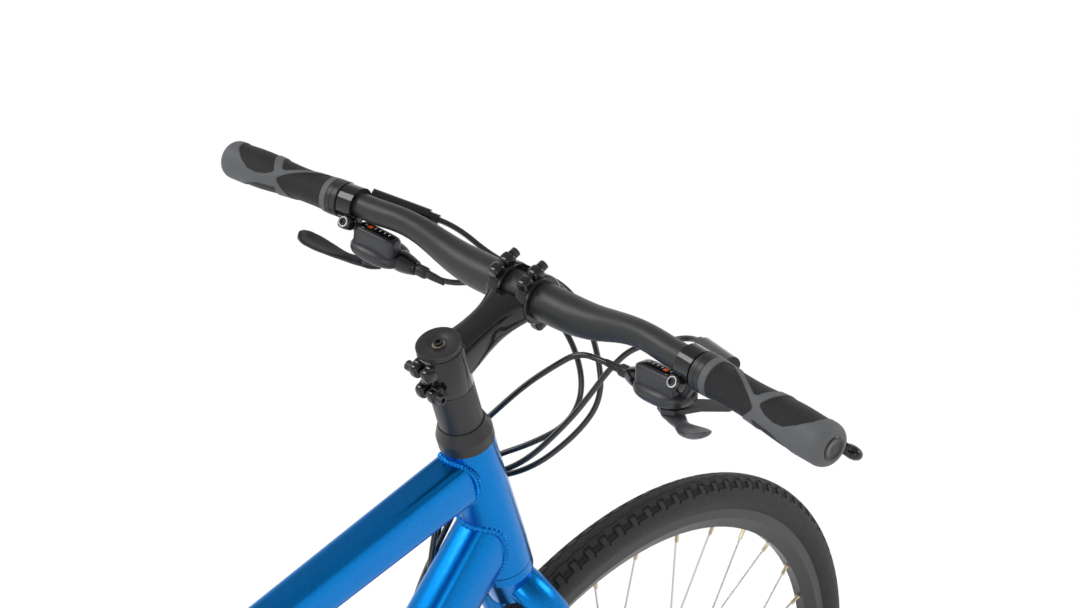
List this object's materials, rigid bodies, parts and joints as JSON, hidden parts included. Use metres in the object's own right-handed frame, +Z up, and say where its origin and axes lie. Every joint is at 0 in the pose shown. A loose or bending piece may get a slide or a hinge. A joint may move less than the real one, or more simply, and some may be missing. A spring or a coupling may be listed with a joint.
{
  "type": "hybrid bike",
  "caption": "Flat-bar hybrid bike with a welded frame, rigid fork, disc brakes, derailleur drive and platform pedals.",
  "frame": {"origin": "on the ground under the middle of the wheelbase, in the plane of the wheels", "axes": "+X forward, +Y to the rider's left, +Z up"},
  "size_m": [1.758, 0.6664, 1.0009],
  "materials": {
    "frame_paint": "gloss metallic blue paint over welded aluminium",
    "black_paint": "gloss black paint",
    "black_alloy": "black anodised aluminium",
    "bar_alloy": "satin dark grey anodised aluminium",
    "bright_steel": "brushed stainless steel",
    "chain_steel": "oiled plated steel",
    "black_steel": "black coated steel",
    "tyre_rubber": "black tyre rubber",
    "grip_rubber": "grey and black grip rubber",
    "tube_rubber": "butyl rubber",
    "hose_skin": "black satin plastic",
    "black_plastic": "black moulded plastic",
    "saddle_cover": "black grained synthetic leather over foam"
  },
  "bodies": {
    "frame": {"head_tube": "frame_paint", "bottom_bracket_shell": "frame_paint", "frame_bearings": "black_alloy", "seat_tube": "frame_paint", "top_tube": "frame_paint", "down_tube": "frame_paint", "rear_triangle": "frame_paint", "seat_collar": "black_alloy", "rear_axle": "bright_steel", "rear_caliper": "black_paint", "control_cables": "hose_skin", "chain": "chain_steel", "rear_mech_body": "black_alloy", "front_mech_body": "black_alloy"},
    "steering": {"fork": "frame_paint", "headset_stack": "black_alloy", "stem": "black_paint", "stem_faceplate": "black_paint", "cockpit_bolts": "bright_steel", "handlebar": "bar_alloy", "grips": "grip_rubber", "brake_lever_bodies": "black_paint", "shifter_housings": "black_plastic", "front_caliper": "black_paint", "front_axle": "bright_steel", "front_brake_hose": "hose_skin"},
    "front_wheel": {"front_tyre": "tyre_rubber", "front_inner_tube": "tube_rubber", "front_rim": "black_alloy", "front_spokes": "bright_steel", "front_hub": "black_paint", "front_rotor": "bright_steel"},
    "rear_wheel": {"rear_tyre": "tyre_rubber", "rear_inner_tube": "tube_rubber", "rear_rim": "black_alloy", "rear_spokes": "bright_steel", "rear_hub": "black_paint", "rear_rotor": "bright_steel"},
    "cassette": {"cassette": "chain_steel"},
    "crank": {"crank_arms": "black_alloy", "chainrings": "black_steel"},
    "left_pedal": {"left_pedal": "black_alloy"},
    "right_pedal": {"right_pedal": "black_alloy"},
    "seat": {"seatpost": "black_paint", "saddle_rails": "bright_steel", "saddle": "saddle_cover"},
    "left_brake_lever": {"left_brake_lever": "black_paint"},
    "right_brake_lever": {"right_brake_lever": "black_paint"},
    "left_thumb_lever": {"left_thumb_lever": "black_plastic"},
    "right_thumb_lever": {"right_thumb_lever": "black_plastic"},
    "left_release_trigger": {"left_release_trigger": "black_plastic"},
    "right_release_trigger": {"right_release_trigger": "black_plastic"},
    "rear_mech_outer_link": {"rear_mech_outer_link": "black_alloy"},
    "rear_mech_inner_link": {"rear_mech_inner_link": "black_alloy"},
    "rear_mech_knuckle": {"rear_mech_knuckle": "black_alloy"},
    "rear_mech_cage": {"rear_mech_cage": "black_steel"},
    "guide_pulley": {"guide_pulley": "black_plastic"},
    "tension_pulley": {"tension_pulley": "black_plastic"},
    "front_mech_link": {"front_mech_link": "black_alloy"},
    "front_mech_cage": {"front_mech_cage": "black_steel"}
  },
  "joints": [
    {"name": "steering", "type": "hinge", "parent": "frame", "child": "steering", "pos_m": [0.35094, 0, 0.71749], "axis": [-0.3256, 0, 0.9455], "range_deg": [-75, 75], "deforming": ["control_cables", "front_brake_hose"]},
    {"name": "front_wheel_spin", "type": "hinge", "parent": "steering", "child": "front_wheel", "pos_m": [0.53104, 0, 0.348], "axis": [0, 1, 0], "continuous": true},
    {"name": "rear_wheel_spin", "type": "hinge", "parent": "frame", "child": "rear_wheel", "pos_m": [-0.53104, 0, 0.348], "axis": [0, 1, 0], "continuous": true},
    {"name": "crank_spin", "type": "hinge", "parent": "frame", "child": "crank", "pos_m": [-0.09127, 0, 0.28], "axis": [0, 1, 0], "continuous": true, "deforming": ["chain"]},
    {"name": "cassette_spin", "type": "hinge", "parent": "frame", "child": "cassette", "pos_m": [-0.53104, 0, 0.348], "axis": [0, 1, 0], "continuous": true},
    {"name": "left_pedal_spin", "type": "hinge", "parent": "crank", "child": "left_pedal", "pos_m": [-0.26127, 0.0699, 0.28], "axis": [0, 1, 0], "continuous": true},
    {"name": "right_pedal_spin", "type": "hinge", "parent": "crank", "child": "right_pedal", "pos_m": [0.07873, -0.0699, 0.28], "axis": [0, 1, 0], "continuous": true},
    {"name": "seat_height", "type": "slide", "parent": "frame", "child": "seat", "axis": [-0.2924, 0, 0.9563], "range_m": [-0.1, 0.06]},
    {"name": "left_brake_squeeze", "type": "hinge", "parent": "steering", "child": "left_brake_lever", "pos_m": [0.3796, 0.19296, 0.9642], "axis": [0.5401, 0.0704, 0.8387], "range_deg": [0, 14], "stiffness_Nm_per_rad": 0.5, "springref_deg": -11.46},
    {"name": "right_brake_squeeze", "type": "hinge", "parent": "steering", "child": "right_brake_lever", "pos_m": [0.3796, -0.19296, 0.9642], "axis": [-0.5401, 0.0704, -0.8387], "range_deg": [0, 14], "stiffness_Nm_per_rad": 0.5, "springref_deg": -11.46},
    {"name": "left_thumb_push", "type": "hinge", "parent": "steering", "child": "left_thumb_lever", "pos_m": [0.35335, 0.1673, 0.9531], "axis": [-0.0135, 0.1036, -0.9945], "range_deg": [0, 30], "stiffness_Nm_per_rad": 0.2, "springref_deg": -11.46},
    {"name": "right_thumb_push", "type": "hinge", "parent": "steering", "child": "right_thumb_lever", "pos_m": [0.35335, -0.1673, 0.9531], "axis": [0.0135, 0.1036, 0.9945], "range_deg": [0, 30], "stiffness_Nm_per_rad": 0.2, "springref_deg": -11.46},
    {"name": "left_release_pull", "type": "hinge", "parent": "steering", "child": "left_release_trigger", "pos_m": [0.35335, 0.1673, 0.9531], "axis": [0.0135, -0.1036, 0.9945], "range_deg": [0, 15], "stiffness_Nm_per_rad": 0.2, "springref_deg": -11.46},
    {"name": "right_release_pull", "type": "hinge", "parent": "steering", "child": "right_release_trigger", "pos_m": [0.35335, -0.1673, 0.9531], "axis": [-0.0135, -0.1036, -0.9945], "range_deg": [0, 15], "stiffness_Nm_per_rad": 0.2, "springref_deg": -11.46},
    {"name": "rear_mech_shift", "type": "hinge", "parent": "frame", "child": "rear_mech_outer_link", "pos_m": [-0.55416, -0.09666, 0.3055], "axis": [0.1758, 0.6587, 0.7316], "range_deg": [-22, 36], "deforming": ["chain"]},
    {"name": "rear_mech_follow", "type": "hinge", "parent": "frame", "child": "rear_mech_inner_link", "pos_m": [-0.55993, -0.08734, 0.2985], "axis": [0.1758, 0.6587, 0.7316], "range_deg": [-22, 36]},
    {"name": "rear_mech_level", "type": "hinge", "parent": "rear_mech_outer_link", "child": "rear_mech_knuckle", "pos_m": [-0.51216, -0.08566, 0.2855], "axis": [0.1758, 0.6587, 0.7316], "range_deg": [-36, 22]},
    {"name": "rear_cage_swing", "type": "hinge", "parent": "rear_mech_knuckle", "child": "rear_mech_cage", "pos_m": [-0.52304, -0.0484, 0.266], "axis": [0, 1, 0], "range_deg": [-25, 25], "stiffness_Nm_per_rad": 0.6, "deforming": ["chain"]},
    {"name": "guide_pulley_spin", "type": "hinge", "parent": "rear_mech_cage", "child": "guide_pulley", "pos_m": [-0.52304, -0.0484, 0.266], "axis": [0, 1, 0], "continuous": true},
    {"name": "tension_pulley_spin", "type": "hinge", "parent": "rear_mech_cage", "child": "tension_pulley", "pos_m": [-0.49566, -0.0484, 0.21038], "axis": [0, 1, 0], "continuous": true},
    {"name": "front_mech_shift", "type": "hinge", "parent": "frame", "child": "front_mech_link", "pos_m": [-0.11927, -0.03, 0.432], "axis": [1, 0, 0], "range_deg": [0, 19.5], "deforming": ["chain"]},
    {"name": "front_mech_level", "type": "hinge", "parent": "front_mech_link", "child": "front_mech_cage", "pos_m": [-0.11927, -0.047, 0.411], "axis": [1, 0, 0], "range_deg": [-19.5, 0]}
  ],
  "couplings": [
    {"joint": "cassette_spin", "follows": "crank_spin", "ratio": 2.5556},
    {"joint": "guide_pulley_spin", "follows": "crank_spin", "ratio": -4.1818},
    {"joint": "tension_pulley_spin", "follows": "crank_spin", "ratio": 4.1818},
    {"joint": "rear_mech_follow", "follows": "rear_mech_shift", "ratio": 1},
    {"joint": "rear_mech_level", "follows": "rear_mech_shift", "ratio": -1},
    {"joint": "front_mech_level", "follows": "front_mech_shift", "ratio": -1}
  ]
}
